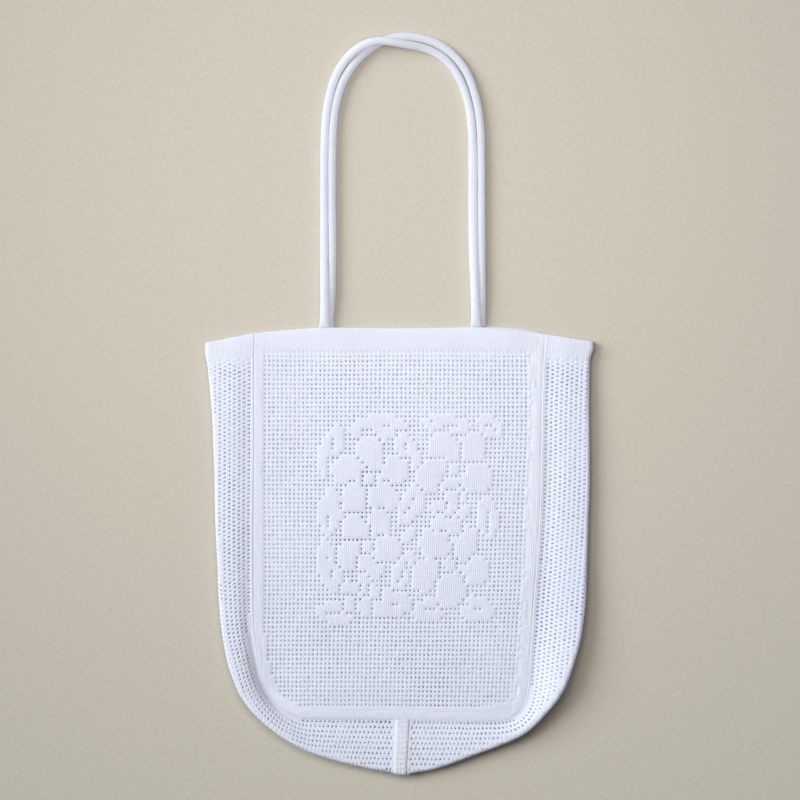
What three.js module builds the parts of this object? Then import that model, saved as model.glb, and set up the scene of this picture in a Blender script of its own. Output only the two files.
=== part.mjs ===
// A white openwork shoulder bag, lying on its back with its two handles laid out above it.
// Millimetres, +Z up. +Y runs from the bottom of the bag towards the handles and +X to the right, seen from above.
// Pieces: a front and a back panel, a gusset in two strips that meet in a seam under the middle of the bag, and two
// handles of knitted tube. Each gusset strip is folded in half lengthways, round the side and the bottom of the bag.
import * as THREE from "three";

// ---- driving sizes, mm ----
const CLOTH = 1.6; // thickness of the knitted cloth
const SEAM_GAP = 0.35; // between two pieces that are sewn edge to edge
const LOFT = 8.0; // height of the middle of the front panel's cloth above the surface
const TUBE = 6.9; // diameter of a handle
const FOOT_GAP = 0.35; // between a handle's foot and the band that it is sewn to
const FOOT = { length: 26, wide: 8.6, high: 3.2 }; // a handle's foot, and how far up it the flattening reaches

// ---- how finely the cloth is cut into facets ----
const SIDE_STEPS = 19; // down each side, from the mouth to the end of the rounded corner
const BOTTOM_STEPS = 20; // along the bottom seam, from corner to corner
const LEFT_BOTTOM_STEPS = 11; // of those, the ones that the left strip takes, up to the seam under the bag
const CROSS_STEPS = 6; // across a gusset strip, on top
const ROLL_STEPS = 5; // round the fold of a gusset strip
const UNDER_STEPS = 6; // across a gusset strip, underneath
const LYING = 1 / 3; // share of a gusset strip's lower layer that lies on the surface
const TUBE_SIDES = 8;
const TUBE_STEP = 15; // length of one facet along a handle
const CORNER_ROW = 14; // row of the tables below where the rounded corner ends and the bottom seam starts

// ---- the two gusset strips: a row for each rib, from the mouth, down the side, round the corner to the middle ----
// seamX, seamY: edge of the panels. foldX, foldY: outermost line of the fold. puff: how far the upper layer bulges.
// dip: depth of the trough beside the seam. roll: height of the fold, between the middles of its two layers.
// lift: how far the fold stands off the surface, over the part of the lower layer that rises to it.
const LEFT_RIBS = [
  { seamX: -129.6, seamY: 62.6, foldX: -174.6, foldY: 53.6, puff: 0.5, dip: 0.0, roll: 5.8, lift: 0.3 },
  { seamX: -129.8, seamY: 48.1, foldX: -175.1, foldY: 45.0, puff: 0.7, dip: 0.0, roll: 6.0, lift: 0.6 },
  { seamX: -130.0, seamY: 34.6, foldX: -173.0, foldY: 32.9, puff: 0.9, dip: 0.1, roll: 6.2, lift: 0.9 },
  { seamX: -130.1, seamY: 2.2, foldX: -169.6, foldY: 0.5, puff: 1.1, dip: 0.3, roll: 6.4, lift: 1.5 },
  { seamX: -130.1, seamY: -33.8, foldX: -167.6, foldY: -35.6, puff: 0.9, dip: 0.4, roll: 6.4, lift: 1.9 },
  { seamX: -130.3, seamY: -69.8, foldX: -166.3, foldY: -72.5, puff: 0.8, dip: 0.3, roll: 6.4, lift: 2.1 },
  { seamX: -130.7, seamY: -105.8, foldX: -165.6, foldY: -110.2, puff: 0.9, dip: 0.3, roll: 6.4, lift: 2.3 },
  { seamX: -130.7, seamY: -141.8, foldX: -163.8, foldY: -149.0, puff: 1.0, dip: 0.5, roll: 6.4, lift: 2.5 },
  { seamX: -130.7, seamY: -172.3, foldX: -162.0, foldY: -185.0, puff: 1.1, dip: 0.9, roll: 6.4, lift: 2.8 },
  { seamX: -130.1, seamY: -196.7, foldX: -158.6, foldY: -213.8, puff: 1.3, dip: 1.6, roll: 6.4, lift: 3.2 },
  { seamX: -127.8, seamY: -218.2, foldX: -152.5, foldY: -240.8, puff: 1.4, dip: 2.4, roll: 6.6, lift: 3.6 },
  { seamX: -123.8, seamY: -242.6, foldX: -141.5, foldY: -266.4, puff: 1.4, dip: 2.8, roll: 6.8, lift: 3.8 },
  { seamX: -115.7, seamY: -262.4, foldX: -122.9, foldY: -287.9, puff: 1.3, dip: 2.6, roll: 7.0, lift: 3.8 },
  { seamX: -102.6, seamY: -275.9, foldX: -98.1, foldY: -305.9, puff: 1.1, dip: 1.6, roll: 7.0, lift: 3.4 },
  { seamX: -84.6, seamY: -283.1, foldX: -74.7, foldY: -316.9, puff: 0.9, dip: 0.7, roll: 7.0, lift: 3.0 },
  { seamX: -53.3, seamY: -283.5, foldX: -48.6, foldY: -324.8, puff: 0.8, dip: 0.4, roll: 7.0, lift: 2.6 },
  { seamX: -21.9, seamY: -283.9, foldX: -21.6, foldY: -330.6, puff: 0.8, dip: 0.3, roll: 7.0, lift: 2.4 },
  { seamX: 9.5, seamY: -284.3, foldX: 6.3, foldY: -334.8, puff: 0.8, dip: 0.2, roll: 7.0, lift: 2.4 },
];
const RIGHT_RIBS = [
  { seamX: 131.4, seamY: 61.6, foldX: 175.5, foldY: 54.8, puff: 0.5, dip: 0.2, roll: 6.0, lift: 0.6 },
  { seamX: 130.3, seamY: 49.1, foldX: 175.5, foldY: 47.7, puff: 0.7, dip: 0.3, roll: 6.2, lift: 1.0 },
  { seamX: 129.4, seamY: 36.5, foldX: 172.4, foldY: 36.5, puff: 0.8, dip: 0.3, roll: 6.2, lift: 1.6 },
  { seamX: 128.0, seamY: 2.2, foldX: 171.7, foldY: 0.5, puff: 0.9, dip: 0.3, roll: 6.2, lift: 2.4 },
  { seamX: 127.4, seamY: -33.8, foldX: 171.9, foldY: -35.6, puff: 0.9, dip: 0.6, roll: 6.2, lift: 3.0 },
  { seamX: 126.9, seamY: -69.8, foldX: 171.9, foldY: -72.5, puff: 0.8, dip: 0.8, roll: 6.2, lift: 3.6 },
  { seamX: 125.5, seamY: -105.8, foldX: 170.6, foldY: -108.5, puff: 0.7, dip: 0.8, roll: 6.2, lift: 4.2 },
  { seamX: 123.3, seamY: -141.8, foldX: 169.4, foldY: -144.5, puff: 0.7, dip: 0.7, roll: 6.2, lift: 5.2 },
  { seamX: 120.9, seamY: -173.2, foldX: 168.1, foldY: -177.8, puff: 0.7, dip: 0.5, roll: 6.4, lift: 6.6 },
  { seamX: 118.8, seamY: -203.8, foldX: 164.0, foldY: -209.2, puff: 0.7, dip: 0.4, roll: 6.6, lift: 8.4 },
  { seamX: 117.0, seamY: -230.8, foldX: 156.6, foldY: -236.2, puff: 0.7, dip: 0.5, roll: 6.8, lift: 10.2 },
  { seamX: 115.2, seamY: -255.2, foldX: 147.1, foldY: -259.7, puff: 0.6, dip: 0.5, roll: 7.0, lift: 10.6 },
  { seamX: 111.2, seamY: -272.2, foldX: 132.3, foldY: -279.4, puff: 0.5, dip: 0.4, roll: 7.0, lift: 9.0 },
  { seamX: 101.7, seamY: -282.2, foldX: 114.8, foldY: -296.6, puff: 0.5, dip: 0.3, roll: 7.0, lift: 6.8 },
  { seamX: 86.4, seamY: -285.3, foldX: 94.0, foldY: -307.2, puff: 0.6, dip: 0.3, roll: 7.0, lift: 5.0 },
  { seamX: 60.8, seamY: -284.9, foldX: 64.8, foldY: -318.3, puff: 0.7, dip: 0.3, roll: 7.0, lift: 3.8 },
  { seamX: 35.1, seamY: -284.7, foldX: 35.6, foldY: -328.9, puff: 0.8, dip: 0.2, roll: 7.0, lift: 2.8 },
  { seamX: 9.5, seamY: -284.3, foldX: 6.3, foldY: -334.8, puff: 0.8, dip: 0.2, roll: 7.0, lift: 2.4 },
];

// ---- the mouth: how high up the front and the back band reach ----
const MOUTH = [
  { x: -129.6, front: 62.6, back: 62.6 },
  { x: -102.6, front: 65.2, back: 65.2 },
  { x: -70.2, front: 67.4, back: 67.6 },
  { x: -35.1, front: 67.2, back: 67.4 },
  { x: 0.9, front: 66.9, back: 67.1 },
  { x: 36.9, front: 67.3, back: 67.6 },
  { x: 68.0, front: 68.0, back: 68.2 },
  { x: 78.3, front: 67.4, back: 68.9 },
  { x: 104.4, front: 64.9, back: 67.0 },
  { x: 117.9, front: 63.4, back: 65.1 },
  { x: 131.4, front: 61.6, back: 62.0 },
];

// ---- soft swells and hollows of the front panel ----
const SWELLS = [
  { x: 0, y: 62, reachX: 90, reachY: 26, rise: -0.7 },
  { x: 25, y: -95, reachX: 85, reachY: 115, rise: 1.0 },
  { x: -82, y: -30, reachX: 26, reachY: 80, rise: -0.5 },
  { x: 92, y: -185, reachX: 24, reachY: 90, rise: 0.6 },
  { x: -25, y: -255, reachX: 60, reachY: 18, rise: 0.5 },
  { x: -120, y: -262, reachX: 22, reachY: 34, rise: -1.7 },
  { x: 112, y: -268, reachX: 22, reachY: 22, rise: -0.6 },
];

// ---- the handles: a row for each point that the tube's middle passes, from the left foot over the top to the right ----
// The tube is round, but each foot is pressed flat where it is sewn to the band.
const FRONT_HANDLE = [
  { x: -67.2, y: 67.9, z: 7.5 },
  { x: -67.3, y: 80.0, z: 8.0 },
  { x: -67.4, y: 101.2, z: 7.2 },
  { x: -67.6, y: 137.2, z: 4.6 },
  { x: -67.7, y: 182.2, z: 3.5 },
  { x: -67.5, y: 227.2, z: 3.5 },
  { x: -66.2, y: 254.2, z: 3.5 },
  { x: -62.9, y: 276.2, z: 3.5 },
  { x: -57.2, y: 294.4, z: 3.8 },
  { x: -48.6, y: 308.3, z: 6.0 },
  { x: -38.9, y: 317.2, z: 9.6 },
  { x: -28.0, y: 322.9, z: 11.0 },
  { x: -17.1, y: 324.9, z: 11.1 },
  { x: -6.3, y: 323.8, z: 10.9 },
  { x: 5.4, y: 321.9, z: 9.0 },
  { x: 18.6, y: 319.9, z: 5.6 },
  { x: 30.4, y: 316.0, z: 3.8 },
  { x: 41.8, y: 308.3, z: 3.5 },
  { x: 50.2, y: 298.6, z: 3.5 },
  { x: 56.0, y: 287.8, z: 3.5 },
  { x: 60.6, y: 274.9, z: 3.5 },
  { x: 64.5, y: 256.2, z: 3.5 },
  { x: 66.4, y: 227.2, z: 3.5 },
  { x: 66.6, y: 182.2, z: 3.5 },
  { x: 67.0, y: 137.2, z: 4.6 },
  { x: 67.8, y: 101.2, z: 7.2 },
  { x: 68.6, y: 80.0, z: 8.1 },
  { x: 69.0, y: 68.5, z: 7.6 },
];
const BACK_HANDLE = [
  { x: -63.2, y: 67.9, z: 1.7 },
  { x: -62.0, y: 80.0, z: 2.9 },
  { x: -60.5, y: 101.2, z: 3.5 },
  { x: -60.1, y: 137.2, z: 3.5 },
  { x: -60.3, y: 182.2, z: 3.5 },
  { x: -60.1, y: 227.2, z: 3.5 },
  { x: -58.9, y: 252.4, z: 3.5 },
  { x: -55.7, y: 272.6, z: 3.5 },
  { x: -50.4, y: 288.8, z: 3.5 },
  { x: -42.6, y: 301.9, z: 3.5 },
  { x: -34.1, y: 311.6, z: 3.5 },
  { x: -25.6, y: 318.8, z: 3.5 },
  { x: -17.1, y: 324.4, z: 3.5 },
  { x: -7.2, y: 328.6, z: 3.5 },
  { x: 4.6, y: 330.0, z: 3.5 },
  { x: 18.1, y: 328.6, z: 3.5 },
  { x: 31.8, y: 324.6, z: 3.5 },
  { x: 44.4, y: 317.0, z: 3.5 },
  { x: 54.4, y: 307.2, z: 3.5 },
  { x: 62.2, y: 295.0, z: 3.5 },
  { x: 67.4, y: 281.0, z: 3.5 },
  { x: 71.4, y: 264.0, z: 3.5 },
  { x: 73.8, y: 240.0, z: 3.5 },
  { x: 74.3, y: 210.0, z: 3.5 },
  { x: 74.4, y: 175.0, z: 3.5 },
  { x: 74.7, y: 137.2, z: 3.5 },
  { x: 74.9, y: 101.2, z: 3.5 },
  { x: 74.6, y: 80.0, z: 2.9 },
  { x: 74.0, y: 68.6, z: 1.7 },
];

// ---- reading the tables ----
// A smooth value of one column at row k, which need not be whole.
function smooth(rows, key, k) {
  const n = rows.length - 1;
  const i = Math.min(Math.floor(Math.max(k, 0)), n - 1);
  const t = k - i;
  const at = (j) => rows[Math.min(Math.max(j, 0), n)][key];
  const p1 = at(i);
  const p2 = at(i + 1);
  const p0 = i > 0 ? at(i - 1) : 2 * p1 - p2;
  const p3 = i + 2 <= n ? at(i + 2) : 2 * p2 - p1;
  const m1 = (p2 - p0) / 2;
  const m2 = (p3 - p1) / 2;
  const t2 = t * t;
  const t3 = t2 * t;
  return (2 * t3 - 3 * t2 + 1) * p1 + (t3 - 2 * t2 + t) * m1 + (3 * t2 - 2 * t3) * p2 + (t3 - t2) * m2;
}

// A column of the mouth's table at x.
function mouthAt(key, x) {
  let i = 0;
  while (i < MOUTH.length - 2 && x > MOUTH[i + 1].x) i++;
  return smooth(MOUTH, key, i + (x - MOUTH[i].x) / (MOUTH[i + 1].x - MOUTH[i].x));
}

// Height of the middle of the front panel's cloth.
function loftAt(x, y) {
  return SWELLS.reduce(
    (z, s) => z + s.rise * Math.exp(-(((x - s.x) / s.reachX) ** 2) - ((y - s.y) / s.reachY) ** 2),
    LOFT,
  );
}

const rowOfSide = (i) => (CORNER_ROW * i) / SIDE_STEPS;
const seamPoint = (rows, k) => new THREE.Vector2(smooth(rows, "seamX", k), smooth(rows, "seamY", k));

// A point of a panel's outline in plan: i counts down the sides from the mouth, u runs from the left seam to the right.
function panelPoint(key, i, u) {
  const left = seamPoint(LEFT_RIBS, rowOfSide(i));
  const right = seamPoint(RIGHT_RIBS, rowOfSide(i));
  const p = left.clone().lerp(right, u);
  const top = seamPoint(LEFT_RIBS, 0).lerp(seamPoint(RIGHT_RIBS, 0), u);
  p.y += (mouthAt(key, top.x) - top.y) * (1 - i / SIDE_STEPS) ** 2;
  return p;
}

// ---- building closed solids ----
function meshOf(name, material, positions, index) {
  const geometry = new THREE.BufferGeometry();
  geometry.setAttribute("position", new THREE.Float32BufferAttribute(positions, 3));
  geometry.setIndex(index);
  geometry.computeVertexNormals();
  const mesh = new THREE.Mesh(geometry, material);
  mesh.name = name;
  return mesh;
}

// A sheet of cloth: grid[i][j] holds the two faces' points, upper and lower, as seen with i away and j to the right.
function sheet(name, material, grid) {
  const rows = grid.length;
  const columns = grid[0].length;
  const positions = [];
  for (const row of grid) for (const p of row) positions.push(...p.upper.toArray(), ...p.lower.toArray());
  const upper = (i, j) => 2 * (i * columns + j);
  const lower = (i, j) => upper(i, j) + 1;
  const index = [];
  const quad = (a, b, c, d) => index.push(a, b, c, a, c, d);
  for (let i = 0; i < rows - 1; i++)
    for (let j = 0; j < columns - 1; j++) {
      quad(upper(i, j), upper(i + 1, j), upper(i + 1, j + 1), upper(i, j + 1));
      quad(lower(i, j), lower(i, j + 1), lower(i + 1, j + 1), lower(i + 1, j));
    }
  for (let i = 0; i < rows - 1; i++) {
    quad(upper(i, 0), lower(i, 0), lower(i + 1, 0), upper(i + 1, 0));
    quad(upper(i, columns - 1), upper(i + 1, columns - 1), lower(i + 1, columns - 1), lower(i, columns - 1));
  }
  for (let j = 0; j < columns - 1; j++) {
    quad(upper(0, j), upper(0, j + 1), lower(0, j + 1), lower(0, j));
    quad(upper(rows - 1, j), lower(rows - 1, j), lower(rows - 1, j + 1), upper(rows - 1, j + 1));
  }
  return meshOf(name, material, positions, index);
}

// A panel, flat on the surface when it is the back one and lofted over the back one when it is the front one.
function panel(name, material, key, heightAt) {
  const grid = [];
  for (let i = 0; i <= SIDE_STEPS; i++) {
    const row = [];
    for (let j = 0; j <= BOTTOM_STEPS; j++) {
      const p = panelPoint(key, i, j / BOTTOM_STEPS);
      const z = heightAt(p.x, p.y);
      row.push({
        upper: new THREE.Vector3(p.x, p.y, z + CLOTH / 2),
        lower: new THREE.Vector3(p.x, p.y, z - CLOTH / 2),
      });
    }
    grid.push(row);
  }
  return sheet(name, material, grid);
}

// The middle line of a gusset strip's section, as distance out from the seam and height: over the top, round the fold
// and back underneath. width is the distance in plan from the seam to the outside of the fold.
function sectionLine(width, seamHeight, rib) {
  const radius = rib.roll / 2;
  const foldStart = width - CLOTH / 2 - radius;
  const foldTop = CLOTH / 2 + rib.lift + rib.roll;
  const points = [];
  for (let m = 0; m <= CROSS_STEPS; m++) {
    const s = m / CROSS_STEPS;
    const out = s * foldStart;
    const base = seamHeight + (foldTop - seamHeight) * s * s * (3 - 2 * s);
    const puff = rib.puff * Math.sin(Math.PI * Math.pow(s, 0.85)) ** 2;
    const dip = rib.dip * Math.exp(-(((out - foldStart * 0.17) / (foldStart * 0.2)) ** 2)) * Math.min(1, s * 6);
    points.push(new THREE.Vector2(out, base + puff - dip));
  }
  for (let m = 1; m <= ROLL_STEPS; m++) {
    const a = Math.PI / 2 - (Math.PI * m) / (ROLL_STEPS + 1);
    points.push(
      new THREE.Vector2(foldStart + radius * Math.cos(a), CLOTH / 2 + rib.lift + radius + radius * Math.sin(a)),
    );
  }
  for (let m = 0; m <= UNDER_STEPS; m++) {
    const s = 1 - m / UNDER_STEPS;
    const rise = Math.max(0, (s - LYING) / (1 - LYING));
    points.push(new THREE.Vector2(foldStart * s, CLOTH / 2 + rib.lift * rise * rise * (3 - 2 * rise)));
  }
  return points;
}

// One rib of a gusset strip: both faces of the cloth along its section. seamRun is the seam's direction there.
function rib(rows, k, seam, seamRun, endShift) {
  const r = {};
  for (const key of ["puff", "dip", "roll", "lift"]) r[key] = smooth(rows, key, k);
  const fold = new THREE.Vector2(smooth(rows, "foldX", k), smooth(rows, "foldY", k));
  const out = fold.clone().sub(seam).normalize();
  const along = new THREE.Vector2(-out.y, out.x).multiplyScalar(endShift);
  const square = new THREE.Vector2(-seamRun.y, seamRun.x).normalize();
  const start = seam.clone().addScaledVector(out, SEAM_GAP / Math.abs(out.dot(square))).add(along);
  const line = sectionLine(start.distanceTo(fold.clone().add(along)), loftAt(seam.x, seam.y), r);
  return line.map((p, m) => {
    const before = line[Math.max(m - 1, 0)];
    const after = line[Math.min(m + 1, line.length - 1)];
    const t = after.clone().sub(before).normalize();
    const ends = m === 0 || m === line.length - 1;
    const n = ends ? new THREE.Vector2(0, m === 0 ? 1 : -1) : new THREE.Vector2(-t.y, t.x);
    const place = (d) => {
      const q = p.clone().addScaledVector(n, d);
      return new THREE.Vector3(start.x + out.x * q.x, start.y + out.y * q.x, q.y);
    };
    return { upper: place(CLOTH / 2), lower: place(-CLOTH / 2) };
  });
}

// A gusset strip, from the mouth to the seam under the bag.
function gusset(name, material, rows, isLeft) {
  const ribs = [];
  for (let i = 0; i <= SIDE_STEPS; i++) {
    const k = rowOfSide(i);
    const run = seamPoint(rows, k + 0.4).sub(seamPoint(rows, k - 0.4));
    ribs.push(rib(rows, k, seamPoint(rows, k), run, 0));
  }
  const steps = isLeft ? LEFT_BOTTOM_STEPS : BOTTOM_STEPS - LEFT_BOTTOM_STEPS;
  for (let i = 1; i <= steps; i++) {
    const u = isLeft ? i / BOTTOM_STEPS : 1 - i / BOTTOM_STEPS;
    const k = CORNER_ROW + ((rows.length - 1 - CORNER_ROW) * i) / steps;
    const endShift = i < steps ? 0 : (isLeft ? -1 : 1) * (SEAM_GAP / 2);
    ribs.push(rib(rows, k, panelPoint("back", SIDE_STEPS, u), new THREE.Vector2(1, 0), endShift));
  }
  if (isLeft) ribs.reverse();
  return sheet(name, material, ribs);
}

// A handle: rings of points round the tube's middle line, closed by a flat end at each foot.
function handle(name, material, rows, key) {
  let length = 0;
  const last = rows.length - 1;
  const middle = (k) => new THREE.Vector3(smooth(rows, "x", k), smooth(rows, "y", k), smooth(rows, "z", k));
  const fine = [];
  for (let k = 0; k <= last * 8; k++) {
    if (k > 0) length += middle(k / 8).distanceTo(middle((k - 1) / 8));
    fine.push({ k: k / 8, length });
  }
  const steps = Math.round(length / TUBE_STEP);
  const positions = [];
  for (let i = 0; i <= steps; i++) {
    const want = (length * i) / steps;
    let f = 0;
    while (f < fine.length - 2 && fine[f + 1].length < want) f++;
    const k = fine[f].k + ((want - fine[f].length) / (fine[f + 1].length - fine[f].length)) / 8;
    const p = middle(k);
    if (i === 0 || i === steps) p.y = mouthAt(key, p.x) + FOOT_GAP;
    const ahead = middle(Math.min(k + 0.05, last));
    const behind = middle(Math.max(k - 0.05, 0));
    const t = i === 0 ? new THREE.Vector3(0, 1, 0) : i === steps ? new THREE.Vector3(0, -1, 0) : ahead.sub(behind).normalize();
    const side = new THREE.Vector3().crossVectors(t, new THREE.Vector3(0, 0, 1)).normalize();
    const up = new THREE.Vector3().crossVectors(side, t);
    const round = Math.min(1, Math.min(want, length - want) / FOOT.length) ** 0.7;
    const wide = FOOT.wide + (TUBE - FOOT.wide) * round;
    const high = FOOT.high + (TUBE - FOOT.high) * round;
    p.z = Math.max(p.z, high / 2);
    for (let s = 0; s < TUBE_SIDES; s++) {
      const a = (2 * Math.PI * (s + 0.5)) / TUBE_SIDES;
      const grow = 1 / Math.cos(Math.PI / TUBE_SIDES);
      positions.push(
        ...p
          .clone()
          .addScaledVector(side, (Math.cos(a) * wide * grow) / 2)
          .addScaledVector(up, (Math.sin(a) * high * grow) / 2)
          .toArray(),
      );
    }
  }
  const index = [];
  for (let i = 0; i < steps; i++)
    for (let s = 0; s < TUBE_SIDES; s++) {
      const a = i * TUBE_SIDES + s;
      const b = i * TUBE_SIDES + ((s + 1) % TUBE_SIDES);
      index.push(a, b + TUBE_SIDES, b, a, a + TUBE_SIDES, b + TUBE_SIDES);
    }
  const end = steps * TUBE_SIDES;
  for (let s = 1; s < TUBE_SIDES - 1; s++) {
    index.push(0, s, s + 1);
    index.push(end, end + s + 1, end + s);
  }
  return meshOf(name, material, positions, index);
}

// ---- the bag ----
const openwork = () => new THREE.MeshStandardMaterial({ color: 0xf1f2f5, roughness: 0.95, metalness: 0, side: THREE.DoubleSide });
const tubular = () => new THREE.MeshStandardMaterial({ color: 0xeeeff2, roughness: 0.95, metalness: 0 });

const bag = new THREE.Group();
bag.add(panel("front_panel", openwork(), "front", loftAt));
bag.add(panel("back_panel", openwork(), "back", () => CLOTH / 2));
bag.add(gusset("gusset_left", openwork(), LEFT_RIBS, true));
bag.add(gusset("gusset_right", openwork(), RIGHT_RIBS, false));
bag.add(handle("handle_front", tubular(), FRONT_HANDLE, "front"));
bag.add(handle("handle_back", tubular(), BACK_HANDLE, "back"));

// The origin is under the middle of the whole thing, on the surface it lies on.
bag.updateMatrixWorld(true);
const box = new THREE.Box3().setFromObject(bag);
bag.position.set(-(box.min.x + box.max.x) / 2, -(box.min.y + box.max.y) / 2, -box.min.z);

export default bag;
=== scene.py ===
"""A white openwork shoulder bag, laid on its back with its two handles above it, on a pale beige floor."""

import math

import bpy
import numpy as np
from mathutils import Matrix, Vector


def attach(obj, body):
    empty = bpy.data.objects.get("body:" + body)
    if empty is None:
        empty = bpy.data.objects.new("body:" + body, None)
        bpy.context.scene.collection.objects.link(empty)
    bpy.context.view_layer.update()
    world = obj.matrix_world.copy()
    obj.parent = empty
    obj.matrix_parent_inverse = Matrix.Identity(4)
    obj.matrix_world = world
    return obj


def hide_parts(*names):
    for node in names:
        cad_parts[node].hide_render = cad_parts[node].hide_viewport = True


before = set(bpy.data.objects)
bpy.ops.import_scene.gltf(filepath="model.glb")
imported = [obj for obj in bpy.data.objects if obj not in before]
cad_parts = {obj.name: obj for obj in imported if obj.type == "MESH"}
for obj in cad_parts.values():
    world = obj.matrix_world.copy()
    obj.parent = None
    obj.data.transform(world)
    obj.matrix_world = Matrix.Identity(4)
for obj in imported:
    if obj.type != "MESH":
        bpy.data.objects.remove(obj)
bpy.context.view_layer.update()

MM = 0.001
SHIFT = np.array([-0.28365325927734375, 0.7069854736328125])  # from the tables' origin to the frame's, mm

# ------------------------------------------------------------------ the construction's own sizes and tables, mm
CLOTH = 1.6
SEAM_GAP = 0.35
LOFT = 8.0
FOOT_LENGTH, FOOT_WIDE, FOOT_HIGH = 26.0, 8.6, 3.2
SIDE_STEPS, BOTTOM_STEPS, LEFT_BOTTOM_STEPS, CORNER_ROW = 19, 20, 11, 14

RIB_COLUMNS = ("seam_x", "seam_y", "fold_x", "fold_y", "puff", "dip", "roll", "lift")
LEFT_RIBS = [
    (-129.6, 62.6, -174.6, 53.6, 0.5, 0.0, 5.8, 0.3),
    (-129.8, 48.1, -175.1, 45.0, 0.7, 0.0, 6.0, 0.6),
    (-130.0, 34.6, -173.0, 32.9, 0.9, 0.1, 6.2, 0.9),
    (-130.1, 2.2, -169.6, 0.5, 1.1, 0.3, 6.4, 1.5),
    (-130.1, -33.8, -167.6, -35.6, 0.9, 0.4, 6.4, 1.9),
    (-130.3, -69.8, -166.3, -72.5, 0.8, 0.3, 6.4, 2.1),
    (-130.7, -105.8, -165.6, -110.2, 0.9, 0.3, 6.4, 2.3),
    (-130.7, -141.8, -163.8, -149.0, 1.0, 0.5, 6.4, 2.5),
    (-130.7, -172.3, -162.0, -185.0, 1.1, 0.9, 6.4, 2.8),
    (-130.1, -196.7, -158.6, -213.8, 1.3, 1.6, 6.4, 3.2),
    (-127.8, -218.2, -152.5, -240.8, 1.4, 2.4, 6.6, 3.6),
    (-123.8, -242.6, -141.5, -266.4, 1.4, 2.8, 6.8, 3.8),
    (-115.7, -262.4, -122.9, -287.9, 1.3, 2.6, 7.0, 3.8),
    (-102.6, -275.9, -98.1, -305.9, 1.1, 1.6, 7.0, 3.4),
    (-84.6, -283.1, -74.7, -316.9, 0.9, 0.7, 7.0, 3.0),
    (-53.3, -283.5, -48.6, -324.8, 0.8, 0.4, 7.0, 2.6),
    (-21.9, -283.9, -21.6, -330.6, 0.8, 0.3, 7.0, 2.4),
    (9.5, -284.3, 6.3, -334.8, 0.8, 0.2, 7.0, 2.4),
]
RIGHT_RIBS = [
    (131.4, 61.6, 175.5, 54.8, 0.5, 0.2, 6.0, 0.6),
    (130.3, 49.1, 175.5, 47.7, 0.7, 0.3, 6.2, 1.0),
    (129.4, 36.5, 172.4, 36.5, 0.8, 0.3, 6.2, 1.6),
    (128.0, 2.2, 171.7, 0.5, 0.9, 0.3, 6.2, 2.4),
    (127.4, -33.8, 171.9, -35.6, 0.9, 0.6, 6.2, 3.0),
    (126.9, -69.8, 171.9, -72.5, 0.8, 0.8, 6.2, 3.6),
    (125.5, -105.8, 170.6, -108.5, 0.7, 0.8, 6.2, 4.2),
    (123.3, -141.8, 169.4, -144.5, 0.7, 0.7, 6.2, 5.2),
    (120.9, -173.2, 168.1, -177.8, 0.7, 0.5, 6.4, 6.6),
    (118.8, -203.8, 164.0, -209.2, 0.7, 0.4, 6.6, 8.4),
    (117.0, -230.8, 156.6, -236.2, 0.7, 0.5, 6.8, 10.2),
    (115.2, -255.2, 147.1, -259.7, 0.6, 0.5, 7.0, 10.6),
    (111.2, -272.2, 132.3, -279.4, 0.5, 0.4, 7.0, 9.0),
    (101.7, -282.2, 114.8, -296.6, 0.5, 0.3, 7.0, 6.8),
    (86.4, -285.3, 94.0, -307.2, 0.6, 0.3, 7.0, 5.0),
    (60.8, -284.9, 64.8, -318.3, 0.7, 0.3, 7.0, 3.8),
    (35.1, -284.7, 35.6, -328.9, 0.8, 0.2, 7.0, 2.8),
    (9.5, -284.3, 6.3, -334.8, 0.8, 0.2, 7.0, 2.4),
]
MOUTH_COLUMNS = ("x", "front", "back")
MOUTH = [
    (-129.6, 62.6, 62.6),
    (-102.6, 65.2, 65.2),
    (-70.2, 67.4, 67.6),
    (-35.1, 67.2, 67.4),
    (0.9, 66.9, 67.1),
    (36.9, 67.3, 67.6),
    (68.0, 68.0, 68.2),
    (78.3, 67.4, 68.9),
    (104.4, 64.9, 67.0),
    (117.9, 63.4, 65.1),
    (131.4, 61.6, 62.0),
]
SWELLS = [  # x, y, reach along x, reach along y, rise
    (0, 62, 90, 26, -0.7),
    (25, -95, 85, 115, 1.0),
    (-82, -30, 26, 80, -0.5),
    (92, -185, 24, 90, 0.6),
    (-25, -255, 60, 18, 0.5),
    (-120, -262, 22, 34, -1.7),
    (112, -268, 22, 22, -0.6),
]
ROUTE_COLUMNS = ("x", "y", "z")
FRONT_HANDLE = [
    (-67.2, 67.9, 7.5),
    (-67.3, 80.0, 8.0),
    (-67.4, 101.2, 7.2),
    (-67.6, 137.2, 4.6),
    (-67.7, 182.2, 3.5),
    (-67.5, 227.2, 3.5),
    (-66.2, 254.2, 3.5),
    (-62.9, 276.2, 3.5),
    (-57.2, 294.4, 3.8),
    (-48.6, 308.3, 6.0),
    (-38.9, 317.2, 9.6),
    (-28.0, 322.9, 11.0),
    (-17.1, 324.9, 11.1),
    (-6.3, 323.8, 10.9),
    (5.4, 321.9, 9.0),
    (18.6, 319.9, 5.6),
    (30.4, 316.0, 3.8),
    (41.8, 308.3, 3.5),
    (50.2, 298.6, 3.5),
    (56.0, 287.8, 3.5),
    (60.6, 274.9, 3.5),
    (64.5, 256.2, 3.5),
    (66.4, 227.2, 3.5),
    (66.6, 182.2, 3.5),
    (67.0, 137.2, 4.6),
    (67.8, 101.2, 7.2),
    (68.6, 80.0, 8.1),
    (69.0, 68.5, 7.6),
]
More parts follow.
